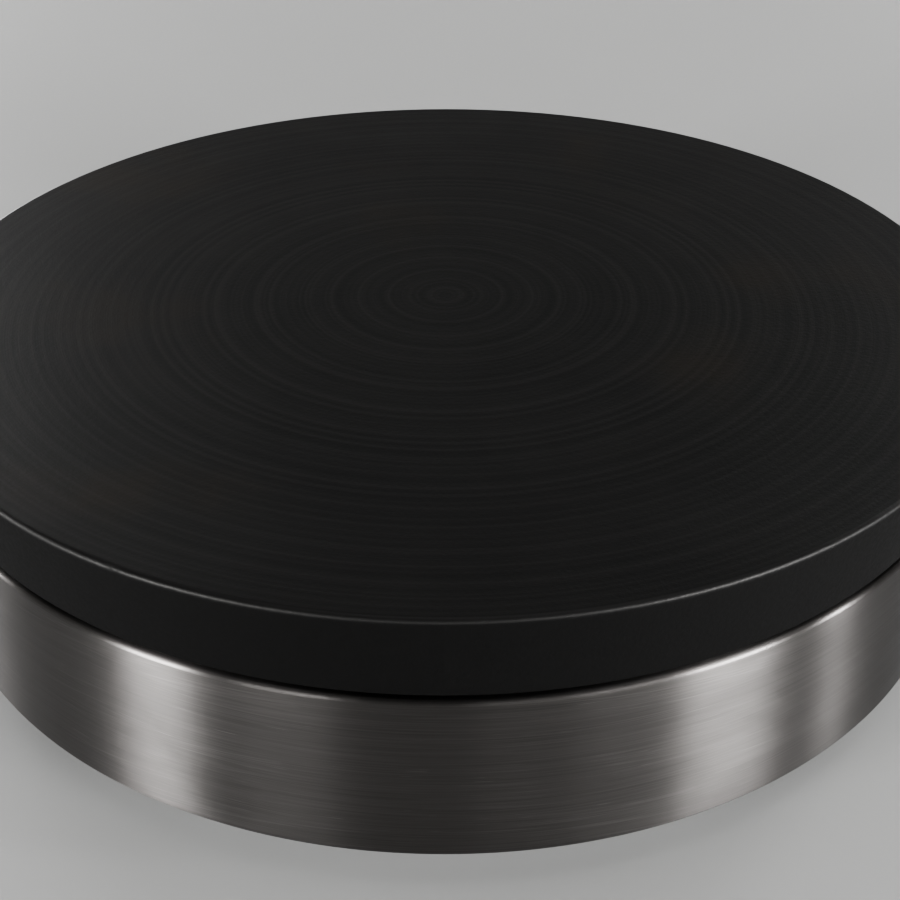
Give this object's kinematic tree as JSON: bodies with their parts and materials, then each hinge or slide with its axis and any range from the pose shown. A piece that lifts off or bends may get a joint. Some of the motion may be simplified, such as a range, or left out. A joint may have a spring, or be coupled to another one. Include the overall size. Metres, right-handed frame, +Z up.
{
  "type": "electric crepe maker",
  "caption": "Round cast-iron griddle plate with a skirt on a brushed steel drum with thermostat, rocker switch, pilot lamps, levelling feet and a cable gland.",
  "frame": {"origin": "on the plate's axis, on the surface that the feet rest on", "axes": "+Z up along the plate's axis, -Y towards the control panel, +Y towards the cable gland"},
  "size_m": [0.3994, 0.444, 0.1085],
  "materials": {
    "griddle_iron": "seasoned cast iron, satin",
    "drum_steel": "brushed stainless steel",
    "base_steel": "zinc-plated steel sheet",
    "tray_steel": "aluminised steel sheet",
    "fasteners": "zinc-plated steel",
    "element_sheath": "oxidised alloy sheath",
    "ceramic": "glazed ceramic",
    "insulation": "mineral wool",
    "foot_rubber": "black rubber",
    "panel_plastic": "black moulded plastic",
    "knob_plastic": "black moulded plastic",
    "rocker_plastic": "gloss black plastic",
    "green_lens": "translucent green lens",
    "amber_lens": "translucent amber lens",
    "gland_plastic": "black polyamide",
    "seal_rubber": "black rubber",
    "terminal_brass": "plain brass",
    "capillary_copper": "bare copper",
    "block_plastic": "white heat-proof plastic",
    "wire_sleeve": "silicone-sleeved wire"
  },
  "bodies": {
    "appliance": {"griddle_plate": "griddle_iron", "heating_element": "element_sheath", "element_seals": "ceramic", "element_pins": "fasteners", "element_pin_nuts": "fasteners", "element_clamp_bars": "base_steel", "clamp_studs": "fasteners", "clamp_washers": "fasteners", "clamp_nuts": "fasteners", "carrier_studs": "fasteners", "carrier_spacers": "fasteners", "carrier_washers": "fasteners", "carrier_nuts": "fasteners", "insulation_pad": "insulation", "heater_tray": "tray_steel", "tray_screws": "fasteners", "casing_drum": "drum_steel", "base_plate": "base_steel", "base_screws": "fasteners", "foot_nuts": "fasteners", "control_panel": "panel_plastic", "panel_screws": "fasteners", "thermostat_body": "block_plastic", "thermostat_screws": "fasteners", "thermostat_bulb": "capillary_copper", "bulb_clip": "base_steel", "bulb_clip_screw": "fasteners", "switch_housing": "rocker_plastic", "lamp_bodies": "block_plastic", "power_lamp_lens": "green_lens", "heat_lamp_lens": "amber_lens", "gland_body": "gland_plastic", "gland_seal": "seal_rubber", "gland_dome_nut": "gland_plastic", "gland_locknut": "gland_plastic", "terminal_block": "block_plastic", "terminal_contacts": "terminal_brass", "terminal_screws": "fasteners", "terminal_block_screws": "fasteners", "thermal_cutout": "block_plastic", "cutout_screws": "fasteners", "earth_stud": "fasteners", "earth_nut": "fasteners", "wire_tabs": "terminal_brass", "internal_wires": "wire_sleeve"},
    "knob": {"control_knob": "knob_plastic", "thermostat_shaft": "fasteners"},
    "rocker": {"switch_rocker": "rocker_plastic"},
    "front_left_pad": {"front_left_foot_pad": "foot_rubber"},
    "front_left_stud": {"front_left_foot_stud": "fasteners"},
    "front_right_pad": {"front_right_foot_pad": "foot_rubber"},
    "front_right_stud": {"front_right_foot_stud": "fasteners"},
    "rear_right_pad": {"rear_right_foot_pad": "foot_rubber"},
    "rear_right_stud": {"rear_right_foot_stud": "fasteners"},
    "rear_left_pad": {"rear_left_foot_pad": "foot_rubber"},
    "rear_left_stud": {"rear_left_foot_stud": "fasteners"}
  },
  "joints": [
    {"name": "knob_turn", "type": "hinge", "parent": "appliance", "child": "knob", "pos_m": [0, -0.202, 0.0445], "axis": [0, 1, 0], "range_deg": [0, 270]},
    {"name": "rocker_tip", "type": "hinge", "parent": "appliance", "child": "rocker", "pos_m": [0.037, -0.2005, 0.0445], "axis": [-1, 0, 0], "range_deg": [0, 20]},
    {"name": "front_left_foot_drop", "type": "slide", "parent": "appliance", "child": "front_left_pad", "axis": [0, 0, -1], "range_m": [0, 0.008]},
    {"name": "front_left_foot_turn", "type": "hinge", "parent": "front_left_pad", "child": "front_left_stud", "pos_m": [-0.10748, -0.10748, 0], "axis": [0, 0, -1], "range_deg": [0, 2304]},
    {"name": "front_right_foot_drop", "type": "slide", "parent": "appliance", "child": "front_right_pad", "axis": [0, 0, -1], "range_m": [0, 0.008]},
    {"name": "front_right_foot_turn", "type": "hinge", "parent": "front_right_pad", "child": "front_right_stud", "pos_m": [0.10748, -0.10748, 0], "axis": [0, 0, -1], "range_deg": [0, 2304]},
    {"name": "rear_right_foot_drop", "type": "slide", "parent": "appliance", "child": "rear_right_pad", "axis": [0, 0, -1], "range_m": [0, 0.008]},
    {"name": "rear_right_foot_turn", "type": "hinge", "parent": "rear_right_pad", "child": "rear_right_stud", "pos_m": [0.10748, 0.10748, 0], "axis": [0, 0, -1], "range_deg": [0, 2304]},
    {"name": "rear_left_foot_drop", "type": "slide", "parent": "appliance", "child": "rear_left_pad", "axis": [0, 0, -1], "range_m": [0, 0.008]},
    {"name": "rear_left_foot_turn", "type": "hinge", "parent": "rear_left_pad", "child": "rear_left_stud", "pos_m": [-0.10748, 0.10748, 0], "axis": [0, 0, -1], "range_deg": [0, 2304]}
  ],
  "couplings": [
    {"joint": "front_left_foot_turn", "follows": "front_left_foot_drop", "rad_per_m": 5026.5},
    {"joint": "front_right_foot_turn", "follows": "front_right_foot_drop", "rad_per_m": 5026.5},
    {"joint": "rear_right_foot_turn", "follows": "rear_right_foot_drop", "rad_per_m": 5026.5},
    {"joint": "rear_left_foot_turn", "follows": "rear_left_foot_drop", "rad_per_m": 5026.5}
  ]
}
